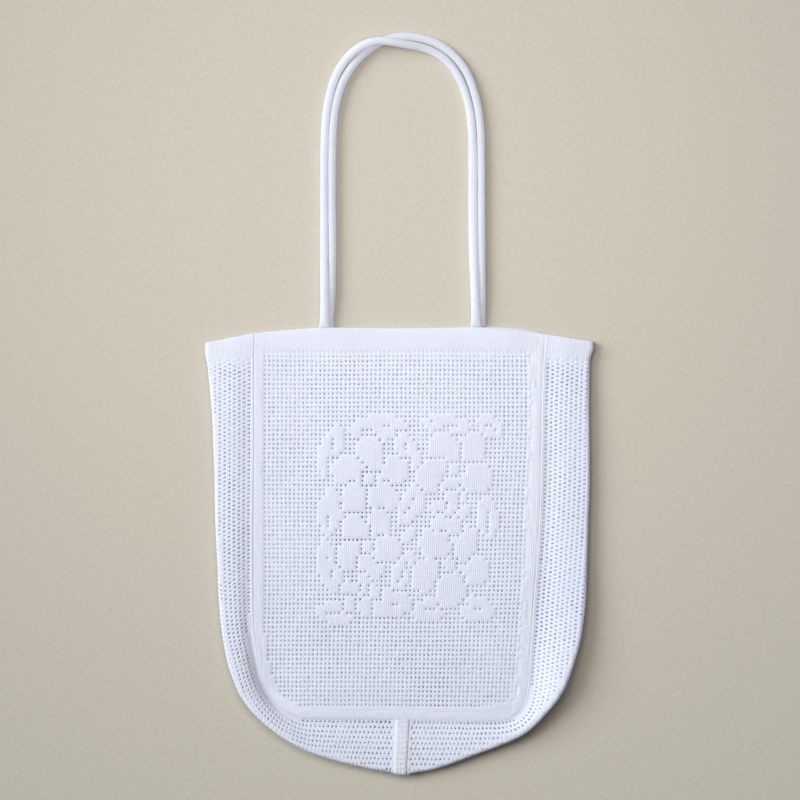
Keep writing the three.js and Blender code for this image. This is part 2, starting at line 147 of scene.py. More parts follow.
BACK_HANDLE = [
    (-63.2, 67.9, 1.7),
    (-62.0, 80.0, 2.9),
    (-60.5, 101.2, 3.5),
    (-60.1, 137.2, 3.5),
    (-60.3, 182.2, 3.5),
    (-60.1, 227.2, 3.5),
    (-58.9, 252.4, 3.5),
    (-55.7, 272.6, 3.5),
    (-50.4, 288.8, 3.5),
    (-42.6, 301.9, 3.5),
    (-34.1, 311.6, 3.5),
    (-25.6, 318.8, 3.5),
    (-17.1, 324.4, 3.5),
    (-7.2, 328.6, 3.5),
    (4.6, 330.0, 3.5),
    (18.1, 328.6, 3.5),
    (31.8, 324.6, 3.5),
    (44.4, 317.0, 3.5),
    (54.4, 307.2, 3.5),
    (62.2, 295.0, 3.5),
    (67.4, 281.0, 3.5),
    (71.4, 264.0, 3.5),
    (73.8, 240.0, 3.5),
    (74.3, 210.0, 3.5),
    (74.4, 175.0, 3.5),
    (74.7, 137.2, 3.5),
    (74.9, 101.2, 3.5),
    (74.6, 80.0, 2.9),
    (74.0, 68.6, 1.7),
]


# ------------------------------------------------------------------ reading the tables
def table(rows, columns):
    return {c: np.array([r[i] for r in rows], float) for i, c in enumerate(columns)}


LEFT, RIGHT = table(LEFT_RIBS, RIB_COLUMNS), table(RIGHT_RIBS, RIB_COLUMNS)
MOUTH_T = table(MOUTH, MOUTH_COLUMNS)


def smooth(values, k):
    """A smooth value of one column at row k, which need not be whole."""
    n = len(values) - 1
    k = np.asarray(k, float)
    i = np.minimum(np.floor(np.maximum(k, 0)), n - 1).astype(int)
    t = k - i
    p1, p2 = values[i], values[i + 1]
    p0 = np.where(i > 0, values[np.maximum(i - 1, 0)], 2 * p1 - p2)
    p3 = np.where(i + 2 <= n, values[np.minimum(i + 2, n)], 2 * p2 - p1)
    m1, m2 = (p2 - p0) / 2, (p3 - p1) / 2
    t2, t3 = t * t, t * t * t
    return (2 * t3 - 3 * t2 + 1) * p1 + (t3 - 2 * t2 + t) * m1 + (3 * t2 - 2 * t3) * p2 + (t3 - t2) * m2


def mouth_at(column, x):
    xs = MOUTH_T["x"]
    i = np.clip(np.searchsorted(xs, x, side="left") - 1, 0, len(xs) - 2)
    return smooth(MOUTH_T[column], i + (x - xs[i]) / (xs[i + 1] - xs[i]))


def loft_at(x, y):
    z = np.full(np.shape(x), LOFT, float)
    for sx, sy, rx, ry, rise in SWELLS:
        z = z + rise * np.exp(-(((x - sx) / rx) ** 2) - ((y - sy) / ry) ** 2)
    return z


def seam_point(ribs, k):
    return np.stack([smooth(ribs["seam_x"], k), smooth(ribs["seam_y"], k)], -1)


def panel_point(column, i, u):
    i, u = np.broadcast_arrays(np.asarray(i, float), np.asarray(u, float))
    k = CORNER_ROW * i / SIDE_STEPS
    a, b = seam_point(LEFT, k), seam_point(RIGHT, k)
    p = a + (b - a) * u[..., None]
    top_a, top_b = seam_point(LEFT, 0.0), seam_point(RIGHT, 0.0)
    top = top_a + (top_b - top_a) * u[..., None]
    p[..., 1] += (mouth_at(column, top[..., 0]) - top[..., 1]) * (1 - i / SIDE_STEPS) ** 2
    return p


# ------------------------------------------------------------------ making meshes
def mesh_piece(name, points, quads=None, tris=None, lay=None, rim=None):
    """A mesh object from points in table millimetres. lay is a vector for each point, in stitches: across, along, and 1 where the cloth is solid. rim marks the points of the holes' rims, whose edges are sharp."""
    co = np.array(points, float)
    co[:, :2] += SHIFT
    co *= MM
    quads = np.zeros((0, 4), np.int64) if quads is None else np.asarray(quads, np.int64).reshape(-1, 4)
    tris = np.zeros((0, 3), np.int64) if tris is None else np.asarray(tris, np.int64).reshape(-1, 3)
    me = bpy.data.meshes.new(name)
    me.vertices.add(len(co))
    me.vertices.foreach_set("co", co.astype(np.float32).ravel())
    loops = np.concatenate([quads.ravel(), tris.ravel()]).astype(np.int32)
    me.loops.add(len(loops))
    me.loops.foreach_set("vertex_index", loops)
    starts = np.concatenate([np.arange(len(quads)) * 4, len(quads) * 4 + np.arange(len(tris)) * 3]).astype(np.int32)
    me.polygons.add(len(starts))
    me.polygons.foreach_set("loop_start", starts)
    me.update(calc_edges=True)
    me.validate()
    me.polygons.foreach_set("use_smooth", np.ones(len(me.polygons), bool))
    if rim is not None:
        ends = np.zeros(len(me.edges) * 2, np.int32)
        me.edges.foreach_get("vertices", ends)
        sharp = me.attributes.new("sharp_edge", "BOOLEAN", "EDGE")
        sharp.data.foreach_set("value", rim[ends.reshape(-1, 2)].all(1))
    if lay is not None:
        a = me.attributes.new("lay", "FLOAT_VECTOR", "POINT")
        a.data.foreach_set("vector", np.asarray(lay, np.float32).ravel())
    ob = bpy.data.objects.new(name, me)
    bpy.context.scene.collection.objects.link(ob)
    return ob


def closed_strip(grid_top, grid_bottom, loop_along=False):
    """Points and quads of a closed strip. The grids are (n, m, 3): n along, m across, and the upper side faces along x across."""
    n, m = grid_top.shape[:2]
    points = np.concatenate([grid_top.reshape(-1, 3), grid_bottom.reshape(-1, 3)])
    ids = np.arange(n * m).reshape(n, m)
    low = ids + n * m
    top = np.stack([ids[:-1, :-1], ids[1:, :-1], ids[1:, 1:], ids[:-1, 1:]], -1).reshape(-1, 4)
    bot = np.stack([low[:-1, :-1], low[:-1, 1:], low[1:, 1:], low[1:, :-1]], -1).reshape(-1, 4)
    side_a = np.stack([ids[:-1, 0], low[:-1, 0], low[1:, 0], ids[1:, 0]], -1)
    side_b = np.stack([ids[:-1, -1], ids[1:, -1], low[1:, -1], low[:-1, -1]], -1)
    end_a = np.stack([ids[0, :-1], ids[0, 1:], low[0, 1:], low[0, :-1]], -1)
    end_b = np.stack([ids[-1, :-1], low[-1, :-1], low[-1, 1:], ids[-1, 1:]], -1)
    return points, np.concatenate([top, bot, side_a, side_b, end_a, end_b])


def net_mesh(name, rings, is_open, halves, at, place, height, hole, core_height=0.97, floor=0.02, lay=None, flip=False):
    """Openwork cloth as one closed mesh.
    rings (N, 8): each cell's outline, as indices into at, going round. halves (M, 6): half cells, always solid.
    at (P, 2): the outline points' places in the lattice. place(at) gives points and upward normals. height (P,): half the cloth's thickness at each.
    hole (N, 5): each hole's half width and half height in cells, its turn, and its shift across and along. core_height: a filled cell's middle beside its outline."""
    count = len(at)
    ring_at = at[rings]
    middle = (ring_at.max(1) + ring_at.min(1)) / 2
    size = ring_at.max(1) - ring_at.min(1)
    opened, closed = np.flatnonzero(is_open), np.flatnonzero(~is_open)

    # the rim of each hole
    d = (ring_at[opened] - middle[opened][:, None]) / size[opened][:, None]
    angle = np.arctan2(d[..., 1], d[..., 0])
    turn = hole[opened, 2][:, None]
    u = np.cos(angle - turn) * hole[opened, 0][:, None]
    v = np.sin(angle - turn) * hole[opened, 1][:, None]
    rim = np.stack([u * np.cos(turn) - v * np.sin(turn), u * np.sin(turn) + v * np.cos(turn)], -1)
    rim = middle[opened][:, None] + (rim + hole[opened][:, None, 3:5]) * size[opened][:, None]
    rim_id = 2 * count + np.arange(len(opened) * 8).reshape(-1, 8)
    core = middle[closed]
    core_top = 2 * count + len(opened) * 8 + np.arange(len(closed))
    core_low = core_top + len(closed)
    half_at = at[halves].mean(1) if len(halves) else np.zeros((0, 2))
    half_top = 2 * count + len(opened) * 8 + 2 * len(closed) + np.arange(len(halves))
    half_low = half_top + len(halves)

    spots = np.concatenate([at, at, rim.reshape(-1, 2), core, core, half_at, half_at])
    h_core = height[rings[closed]].mean(1) * (np.broadcast_to(core_height, len(rings))[closed])
    h_half = height[halves].mean(1) if len(halves) else np.zeros(0)
    h = np.concatenate([height, -height, np.zeros(len(opened) * 8), h_core, -h_core, h_half, -h_half])
    p, n = place(spots)
    points = p + n * h[:, None]
    points[:, 2] = np.maximum(points[:, 2], floor)

    quads, tris = [], []
    for i in range(8):
        j = (i + 1) % 8
        a, b = rings[opened, i], rings[opened, j]
        quads.append(np.stack([a, b, rim_id[:, j], rim_id[:, i]], -1))
        quads.append(np.stack([b + count, a + count, rim_id[:, i], rim_id[:, j]], -1))
        a, b = rings[closed, i], rings[closed, j]
        tris.append(np.stack([a, b, core_top], -1))
        tris.append(np.stack([b + count, a + count, core_low], -1))
    for i in range(6 if len(halves) else 0):
        a, b = halves[:, i], halves[:, (i + 1) % 6]
        tris.append(np.stack([a, b, half_top], -1))
        tris.append(np.stack([b + count, a + count, half_low], -1))
    quads, tris = np.concatenate(quads), np.concatenate(tris)

    # the cloth's cut edges
    edges = [np.stack([rings[:, i], rings[:, (i + 1) % 8]], -1) for i in range(8)]
    if len(halves):
        edges += [np.stack([halves[:, i], halves[:, (i + 1) % 6]], -1) for i in range(6)]
    edges = np.concatenate(edges)
    key, back = edges[:, 0] * count + edges[:, 1], edges[:, 1] * count + edges[:, 0]
    rim_edges = edges[~np.isin(key, back)]
    a, b = rim_edges[:, 0], rim_edges[:, 1]
    quads = np.concatenate([quads, np.stack([b, a, a + count, b + count], -1)])
    if flip:
        quads, tris = quads[:, ::-1], tris[:, ::-1]

    solid = np.zeros(count)
    if len(closed):
        np.maximum.at(solid, rings[closed].ravel(), 1.0)
    touched = np.zeros(count)
    np.maximum.at(touched, rings[opened].ravel(), 1.0)
    solid = solid * (1 - 0.6 * touched)
    solid = np.concatenate([solid, solid, np.zeros(len(opened) * 8), np.ones(2 * len(closed)), np.ones(2 * len(halves))])
    coordinates = np.column_stack([spots, solid]) if lay is None else lay(spots, solid)

    used = np.zeros(len(points), bool)
    used[quads.ravel()] = True
    used[tris.ravel()] = True
    renumber = np.cumsum(used) - 1
    rim = np.zeros(len(points), bool)
    rim[rim_id.ravel()] = True
    return mesh_piece(name, points[used], renumber[quads], renumber[tris], coordinates[used], rim[used])


# ------------------------------------------------------------------ the outline of the panels and the seam strips on it
def outline(column, step=0.8):
    """The panel's outline as points, from the mouth down the left seam, along the bottom and up the right seam, with the distance along it and the inward direction."""
    k = np.linspace(0, CORNER_ROW, 500)
    u = np.linspace(0, 1, 200)[1:-1]
    i = SIDE_STEPS * k / CORNER_ROW
    line = np.concatenate(
        [panel_point(column, i, 0.0), panel_point(column, SIDE_STEPS, u), panel_point(column, i, 1.0)[::-1]]
    )
    run = np.concatenate([[0], np.cumsum(np.linalg.norm(np.diff(line, axis=0), axis=1))])
    s = np.linspace(0, run[-1], int(round(run[-1] / step)) + 1)
    line = np.stack([np.interp(s, run, line[:, 0]), np.interp(s, run, line[:, 1])], -1)
    t = np.gradient(line, axis=0)
    for _ in range(6):
        t[1:-1] = (t[:-2] + t[1:-1] + t[2:]) / 3
    t /= np.linalg.norm(t, axis=1)[:, None]
    return line, s, np.stack([-t[:, 1], t[:, 0]], -1)


# How wide the solid margin along the seam is: share of the way along the outline, mm. From the mouth at the left.
MARGIN = [(0.0, 8.0), (0.2, 7.8), (0.3, 7.4), (0.385, 8.2), (0.43, 9.4), (0.5, 9.6), (0.565, 10.2), (0.60, 13.0), (0.625, 14.0), (0.66, 11.6), (0.75, 11.2), (0.9, 11.4), (1.0, 13.2)]


def margin_at(share):
    return np.interp(share, [m[0] for m in MARGIN], [m[1] for m in MARGIN])


# ------------------------------------------------------------------ the lattice of a panel
COLUMNS, ROWS_DOWN, BAND_ROWS = 62, 80, 5
PITCH_Y = 4.12
FIRST_ROW_Y = 47.2
NET_LEFT = -122.4
NET_RIGHT = [(60.0, 116.6), (-34.0, 115.8), (-70.0, 114.3), (-160.0, 110.7), (-232.0, 105.3), (-262.0, 103.5), (-290.0, 102.2)]
rng = np.random.default_rng(41)


def waves(a, b, seed, scale, amount):
    """A smooth, seeded wobble of two lattice coordinates."""
    r = np.random.default_rng(seed)
    out = np.zeros(np.shape(a))
    for _ in range(7):
        fa, fb, ph = r.normal(0, 1 / scale), r.normal(0, 1 / scale), r.uniform(0, 2 * math.pi)
        out = out + np.sin(fa * a + fb * b + ph)
    return out * amount / 2.6


def panel_place(column, height_at, slip=(0.0, 0.0), drift=(5, 9.0, 0.35)):
    """drift: the seed, reach in cells and size in mm of the lattice's slow wandering."""
    seed, reach, size = drift

    def place(at):
        c, r = at[:, 0] + slip[0], at[:, 1] + slip[1]
        y = FIRST_ROW_Y - PITCH_Y * r
        right = np.interp(-y, [-q[0] for q in NET_RIGHT], [q[1] for q in NET_RIGHT])
        x = NET_LEFT + (right - NET_LEFT) * c / COLUMNS
        x = x + waves(c, r, seed, reach, size)
        y = y + waves(c, r, seed + 1, reach, size)
        top = mouth_at(column, np.clip(x, -129.6, 131.4))
        share = np.clip(-at[:, 1] / BAND_ROWS, 0, 1)
        base = FIRST_ROW_Y - PITCH_Y * slip[1]
        y = np.where(at[:, 1] < 0, base + (top - 0.1 - base) * share, y)
        z = height_at(x, y)
        p = np.stack([x, y, z], -1)
        e = 0.5
        gx = (height_at(x + e, y) - height_at(x - e, y)) / (2 * e)
        gy = (height_at(x, y + e) - height_at(x, y - e)) / (2 * e)
        n = np.stack([-gx, -gy, np.ones_like(gx)], -1)
        return p, n / np.linalg.norm(n, axis=1)[:, None]

    return place


# A generic spray of blossoms and leaves for the filled cells, in cells from the middle of its field, y up.
MOTIF_LEFT, MOTIF_TOP, MOTIF_COLUMNS, MOTIF_ROWS = 13, 14, 43, 46
STEM = [(-15, -19), (-12.5, -14.5), (-8.5, -11), (-4, -8), (-0.5, -4), (1, 1), (0.5, 6), (2.5, 10.5), (6.5, 14)]
LEAVES = [  # x, y, half length, half width, turn
    (-18.4, -10.4, 6.2, 2.9, 104),
    (-4.4, -18.0, 6.6, 3.4, -6),
    (6.4, -19.4, 5.2, 2.6, 16),
    (17.0, -19.4, 5.0, 2.8, -16),
    (-18.6, 1.6, 5.6, 2.8, 84),
    (-18.4, 15.0, 6.0, 2.9, 74),
    (-7.6, 20.0, 7.0, 2.9, 6),
    (18.9, 0.6, 5.2, 2.5, 98),
    (8.4, 20.8, 6.2, 2.2, -6),
    (-0.6, 14.6, 4.8, 2.7, 112),
    (-0.6, -11.0, 4.8, 2.6, 64),
    (0.4, 3.4, 5.2, 2.9, 62),
    (18.8, 20.2, 3.6, 2.4, 140),
    (-17.0, -20.6, 5.0, 2.3, -12),
]
BLOSSOMS = [  # x, y, size, turn
    (-9.4, 9.0, 9.0, 18),
    (10.2, -9.8, 9.4, -12),
    (10.8, 11.0, 9.2, 50),
    (-9.4, -5.6, 8.0, 62),
    (9.4, 1.2, 4.8, 8),
    (-11.0, -16.4, 4.6, 10),
]


def motif_mask(c, r):
    """True where a cell is filled: the later shapes lie over the earlier ones, each with a line of open cells round it."""
    x = c - MOTIF_LEFT + 0.5 - MOTIF_COLUMNS / 2
    y = MOTIF_ROWS / 2 - (r - MOTIF_TOP) - 0.5
    filled = np.zeros(np.shape(c), bool)

    def along(sx, sy, turn):
        t = math.radians(turn)
        return (x - sx) * math.cos(t) + (y - sy) * math.sin(t), -(x - sx) * math.sin(t) + (y - sy) * math.cos(t)

    for sx, sy in STEM:
        u, v = along(sx, sy, 55)
        filled |= (u / 2.9) ** 2 + (v / 1.1) ** 2 <= 1
    for sx, sy, long, wide, turn in LEAVES:
        u, v = along(sx, sy, turn)
        bow = np.maximum(1 - (u / (long + 0.7)) ** 2, 0) ** 0.8
        filled &= ~((np.abs(u) < long + 0.7) & (np.abs(v) < wide * bow + 0.55))
        inside = (np.abs(u) < long) & (np.abs(v) < wide * np.maximum(1 - (u / long) ** 2, 0) ** 0.8)
        vein = (np.abs(v) < 0.36) & (u > -long * 0.6) & (u < long * 0.45)
        filled |= inside & ~vein
    for sx, sy, size, start in BLOSSOMS:
        for i in range(5):
            a = start + 72 * i
            u, v = along(sx + size * 0.58 * math.cos(math.radians(a)), sy + size * 0.58 * math.sin(math.radians(a)), a)
            filled &= ~((u / (size * 0.44 + 0.8)) ** 2 + (v / (size * 0.37 + 0.8)) ** 2 <= 1)
            filled |= (u / (size * 0.44)) ** 2 + (v / (size * 0.37)) ** 2 <= 1
        u, v = along(sx, sy, 0)
        filled &= ~(u * u + v * v <= (size * 0.25) ** 2)
        filled |= u * u + v * v <= (size * 0.14) ** 2
    return filled & (np.abs(x) < MOTIF_COLUMNS / 2) & (np.abs(y) < MOTIF_ROWS / 2)


def panel_net(name, column, height_at, with_motif, seed, slip=(0.0, 0.0), drift=(5, 9.0, 0.35), tall=(0.62, 0.72, 0.42), floor=0.02):
    r0, r1, c0, c1 = -BAND_ROWS, ROWS_DOWN, -2, COLUMNS + 4
    nr, nc = r1 - r0, c1 - c0
    place = panel_place(column, height_at, slip, drift)
    # outline points: lattice corners, then middles of the level edges, then middles of the upright ones
    corner = np.arange((nr + 1) * (nc + 1)).reshape(nr + 1, nc + 1)
    level = corner.size + np.arange((nr + 1) * nc).reshape(nr + 1, nc)
    upright = corner.size + level.size + np.arange(nr * (nc + 1)).reshape(nr, nc + 1)
    rr, cc = np.meshgrid(np.arange(r0, r1 + 1), np.arange(c0, c1 + 1), indexing="ij")
    lr, lc = np.meshgrid(np.arange(r0, r1 + 1), np.arange(c0, c1) + 0.5, indexing="ij")
    ur, uc = np.meshgrid(np.arange(r0, r1) + 0.5, np.arange(c0, c1 + 1), indexing="ij")
    at = np.concatenate([np.stack([c.ravel(), r.ravel()], -1) for c, r in ((cc, rr), (lc, lr), (uc, ur))]).astype(float)
    rings = np.stack(
        [corner[:-1, :-1], upright[:, :-1], corner[1:, :-1], level[1:], corner[1:, 1:], upright[:, 1:], corner[:-1, 1:], level[:-1]], -1
    ).reshape(-1, 8)
    cr, cl = np.meshgrid(np.arange(r0, r1), np.arange(c0, c1), indexing="ij")
    cr, cl = cr.ravel(), cl.ravel()

    # drop the cells that reach past the outline, and close those on the margin
    line, run, _ = outline(column)
    where = place(at)[0][:, :2]
    middle = (where[rings].max(1) + where[rings].min(1)) / 2
    near = np.full(len(middle), 1e9)
    index = np.zeros(len(middle), int)
    for start in range(0, len(line), 200):
        d = np.linalg.norm(middle[:, None] - line[None, start : start + 200], axis=2)
        i = d.argmin(1)
        better = d[np.arange(len(d)), i] < near
        near = np.where(better, d[np.arange(len(d)), i], near)
        index = np.where(better, start + i, index)
    loop = np.concatenate([line, [[line[-1, 0], mouth_at(column, 131.4) + 0.5], [line[0, 0], mouth_at(column, -129.6) + 0.5]]])
    top_line = np.stack([np.linspace(131.4, -129.6, 60), np.zeros(60)], -1)
    top_line[:, 1] = mouth_at(column, top_line[:, 0]) + 0.6
    loop = np.concatenate([line, top_line])

    def inside(p):
        x, y = p[:, 0], p[:, 1]
        odd = np.zeros(len(p), bool)
        ax, ay = loop[:, 0], loop[:, 1]
        bx, by = np.roll(ax, -1), np.roll(ay, -1)
        for i in range(len(loop)):
            if ay[i] == by[i]:
                continue
            cross = (ay[i] > y) != (by[i] > y)
            odd ^= cross & (x < ax[i] + (y - ay[i]) / (by[i] - ay[i]) * (bx[i] - ax[i]))
        return odd

    point_in = inside(where)
    keep = point_in[rings].all(1)
    edge_clear = np.ones(len(where), bool)
    close = point_in.copy()
    ids = np.flatnonzero(close)
    gap = np.full(len(ids), 1e9)
    for start in range(0, len(line), 200):
        gap = np.minimum(gap, np.linalg.norm(where[ids][:, None] - line[None, start : start + 200], axis=2).min(1))
    edge_clear[ids] = gap > 0.7
    beside = np.zeros(len(where))
    beside[ids] = np.clip(1 - (gap - 2.8) / 2.2, 0, 1)  # 1 under the sewn edge
    keep &= edge_clear[rings].all(1)
    share = run[index] / run[-1]
    is_open = (near > margin_at(share) + 0.9) & (cr >= 0)
    # the plain margin beside it has a faint hole here and there
    faint = ~is_open & (near > 8.6) & (cr > 0) & with_motif & (np.random.default_rng(seed + 7).random(len(near)) < 0.55)
    is_open |= faint
    if with_motif:
        is_open &= ~motif_mask(cl, cr)
    rings, is_open, faint, cr, cl = rings[keep], is_open[keep], faint[keep], cr[keep], cl[keep]

    # relief: the upright lines stand higher than the level ones, and solid cloth is even
    count = np.zeros(len(at))
    solid = np.zeros(len(at))
    np.add.at(count, rings.ravel(), 1)
    np.add.at(solid, rings.ravel(), np.repeat(~is_open, 8))
    share_solid = solid / np.maximum(count, 1)
    kind = np.concatenate([np.full(corner.size, tall[0]), np.full(level.size, tall[2]), np.full(upright.size, tall[1])])
    r = np.random.default_rng(seed)
    height = kind * (1 + 0.10 * r.normal(size=len(at))) * (1 - share_solid) + 0.66 * share_solid * (1 + 0.03 * r.normal(size=len(at)))

    height = height * (1 - 0.58 * beside)

    n = len(rings)
    first = cr == 0
    second = cr == 1
    grow = np.where(faint, 0.42, 1.0) * np.where(first, 0.45, np.where(second, 0.75, 1.0)) * (1 + 0.10 * r.normal(size=n)) * (1 + waves(cl, cr, seed + 3, 8.0, 0.10))
    hole = np.stack(
        [
            0.168 * grow,
            0.195 * grow,
            np.radians(18 + 8 * r.normal(size=n)),
            0.025 * r.normal(size=n),
            0.025 * r.normal(size=n),
        ],
        -1,
    )

    # small unevenness of the hand
    at = at + r.normal(size=at.shape) * 0.022
    ob = net_mesh(
        name,
        rings,
        is_open,
        np.zeros((0, 6), int),
        at,
        place,
        height,
        hole,
        floor=floor,
        lay=lambda spots, s: np.column_stack([spots[:, 0] * 2, spots[:, 1] * 3, s]),
    )
    return ob


STRIP_AT = np.array([0.0, 0.02, 0.06, 0.12, 0.2, 0.3, 0.4, 0.5, 0.6, 0.7, 0.78, 0.85, 0.91, 0.96, 0.985, 1.0])
STRIP_FRONT = np.array([0.22, 0.54, 0.66, 0.72, 0.76, 0.77, 0.76, 0.75, 0.74, 0.73, 0.71, 0.68, 0.63, 0.54, 0.45, 0.28])
STRIP_BACK = np.array([0.20, 0.60, 0.80, 0.88, 0.92, 0.94, 0.95, 0.95, 0.95, 0.94, 0.92, 0.88, 0.82, 0.72, 0.58, 0.30])
# Round the front's outline: share of its length, how wide the sewn edge is, mm, and how uneven the cloth is there.
STRIP_WIDTH = [(0.0, 7.4, 0.6), (0.36, 7.2, 0.8), (0.39, 8.6, 1.4), (0.43, 8.2, 1.3), (0.47, 7.0, 1.0), (0.56, 7.0, 1.0), (0.60, 8.6, 1.3), (0.64, 8.0, 1.2), (0.70, 7.8, 1.1), (1.0, 8.6, 0.9)]


def seam_strip(name, column, height_at, is_front, under, floor=0.02, seed=0):
    """The solid margin where a panel is sewn to the gusset, lumpy as hand work is, level with the net beside it."""
    line, run, inward = outline(column, 1.15)
    share = run / run[-1]
    q = STRIP_AT
    lift = STRIP_FRONT if is_front else STRIP_BACK
    width, rough = (np.interp(share, [b[0] for b in STRIP_WIDTH], [b[i] for b in STRIP_WIDTH]) for i in (1, 2))
    if not is_front:
        width, rough = margin_at(share), 1 + 0 * share
    width = width + waves(run, 0 * run, seed + 1, 11.0, 0.45) + waves(run, 0 * run, seed + 5, 3.2, 0.16)
    reach = -0.5 + q[None] * (width[:, None] + 0.5)
    xy = line[:, None] + inward[:, None] * reach[..., None]
    base = height_at(xy[..., 0], xy[..., 1])
    inner = np.minimum(1, np.minimum(q, 1 - q) / 0.12)[None]
    along, over = run[:, None] + 0 * q, 0 * run[:, None] + reach
    uneven = 0.11 * waves(along, over * 2.2, seed + 2, 5.5, 1.0) + 0.07 * waves(along, over * 1.4, seed + 3, 2.1, 1.0)
    dimple = 0.14 * np.exp(-(((((run[:, None] + 1.3 * np.sin(run[:, None] * 0.21)) / 8.3) % 1.0 - 0.5) * 8.3 / 1.15) ** 2) - (((q[None] - 0.62) / 0.10) ** 2))
    top_z = base + lift + (uneven * rough[:, None] - dimple * (share < 0.38)[:, None]) * inner
    top = np.concatenate([xy, top_z[..., None]], -1)
    low = np.concatenate([xy, (base - under)[..., None]], -1)
    top[..., 2] = np.maximum(top[..., 2], floor + 0.05)
    low[..., 2] = np.maximum(low[..., 2], floor)
    points, quads = closed_strip(top, low)
    # the same wales as the net's, so that the knitting runs on
    right = np.interp(-xy[..., 1], [-p[0] for p in NET_RIGHT], [p[1] for p in NET_RIGHT])
    wales = 2 * COLUMNS * (xy[..., 0] - NET_LEFT) / (right - NET_LEFT)
    courses = 3 * (FIRST_ROW_Y - xy[..., 1]) / PITCH_Y
    lay = np.column_stack([np.tile(wales.ravel(), 2), np.tile(courses.ravel(), 2), np.ones(2 * len(q) * len(run))])
    return mesh_piece(name, points, quads, None, lay)


# ------------------------------------------------------------------ the gusset strips
GUSSET_PITCH = 3.67
TOP_POINTS, ROLL_POINTS, UNDER_POINTS = 70, 26, 34
LYING = 1 / 3  # share of the lower layer that lies on the surface, before it rises to the fold


def gusset_stations(is_left, k):
    """The seam point and its direction at row k of the strip's table."""
    ribs = LEFT if is_left else RIGHT
    steps = LEFT_BOTTOM_STEPS if is_left else BOTTOM_STEPS - LEFT_BOTTOM_STEPS
    side = seam_point(ribs, np.minimum(k, CORNER_ROW))
    i = (k - CORNER_ROW) / 3 * steps
    u = i / BOTTOM_STEPS if is_left else 1 - i / BOTTOM_STEPS
    bottom = panel_point("back", float(SIDE_STEPS), u)
    seam = np.where((k > CORNER_ROW)[:, None], bottom, side)
    fold = np.stack([smooth(ribs["fold_x"], k), smooth(ribs["fold_y"], k)], -1)
    return seam, fold


def section_lines(is_left, k):
    """The middle line of the strip's section at each row k: points (n, m, 3), normals and the distance along it."""
    ribs = LEFT if is_left else RIGHT
    seam, fold = gusset_stations(is_left, k)
    run = np.gradient(seam, axis=0)
    out = fold - seam
    out /= np.linalg.norm(out, axis=1)[:, None]
    square = np.stack([-run[:, 1], run[:, 0]], -1)
    square /= np.linalg.norm(square, axis=1)[:, None]
    start = seam + out * (SEAM_GAP / np.abs((out * square).sum(1)))[:, None]
    width = np.linalg.norm(fold - start, axis=1)
    puff, dip, roll, lift = (smooth(ribs[c], k) for c in ("puff", "dip", "roll", "lift"))
    radius = roll / 2
    reach = 0.5 * radius  # the fold is creased, so it is rounder in height than it is across
    fold_start = width - CLOTH / 2 - reach
    fold_top = CLOTH / 2 + roll + lift
    seam_height = loft_at(seam[:, 0], seam[:, 1])
    s = np.linspace(0, 1, TOP_POINTS)[None]
    o_top = s * fold_start[:, None]
    z_top = seam_height[:, None] + (fold_top - seam_height)[:, None] * s * s * (3 - 2 * s)
    z_top = z_top + puff[:, None] * np.sin(math.pi * s**0.85) ** 2
    z_top = z_top - dip[:, None] * np.exp(-(((o_top - fold_start[:, None] * 0.17) / (fold_start[:, None] * 0.2)) ** 2)) * np.minimum(1, s * 6)
    if is_left:
        groove = np.interp(k, [8.0, 9.5, 11.0, 12.5, 13.8], [0.0, 0.3, 0.55, 0.4, 0.0])
        z_top = z_top - groove[:, None] * np.exp(-(((o_top - 3.2) / 2.3) ** 2)) * np.minimum(1, o_top / 1.6)
        z_top = np.maximum(z_top, 2.7 * np.minimum(1, o_top / 1.0))
    a = math.pi / 2 - math.pi * np.arange(1, ROLL_POINTS + 1)[None] / (ROLL_POINTS + 1)
    o_roll = fold_start[:, None] + reach[:, None] * np.cos(a)
    z_roll = CLOTH / 2 + lift[:, None] + radius[:, None] + radius[:, None] * np.sin(a)
    u = 1 - np.linspace(0, 1, UNDER_POINTS)[None]
    o_under = fold_start[:, None] * u
    rise = np.clip((u - LYING) / (1 - LYING), 0, 1)
    z_under = CLOTH / 2 + lift[:, None] * rise * rise * (3 - 2 * rise)
    o = np.concatenate([o_top, o_roll, o_under], 1)
    z = np.concatenate([z_top, z_roll, z_under], 1)
    p = np.concatenate([start[:, None] + out[:, None] * o[..., None], z[..., None]], -1)
    to, tz = np.gradient(o, axis=1), np.gradient(z, axis=1)
    size = np.hypot(to, tz)
    n = np.concatenate([out[:, None] * (-tz / size)[..., None], (to / size)[..., None]], -1)
    length = np.concatenate([np.zeros((len(k), 1)), np.cumsum(np.hypot(np.diff(o, axis=1), np.diff(z, axis=1)), 1)], 1)
    top_length = length[:, TOP_POINTS + ROLL_POINTS // 2]
    return p, n, length, top_length


# The lattices of the strips: the number of columns, then, at rows 0, 9, 12, 14 and 17 of the tables, mm from the seam to the first column and mm for a column.
LATTICE_AT = [0, 9, 12, 14, 17]
LEFT_LATTICE = (19, [1.9, 1.9, 1.7, 0.8, 0.5], [4.38, 4.38, 4.2, 4.5, 4.7])
RIGHT_LATTICE = (20, [2.6, 2.4, 1.9, 0.9, 0.5], [4.42, 4.38, 4.3, 4.5, 4.7])
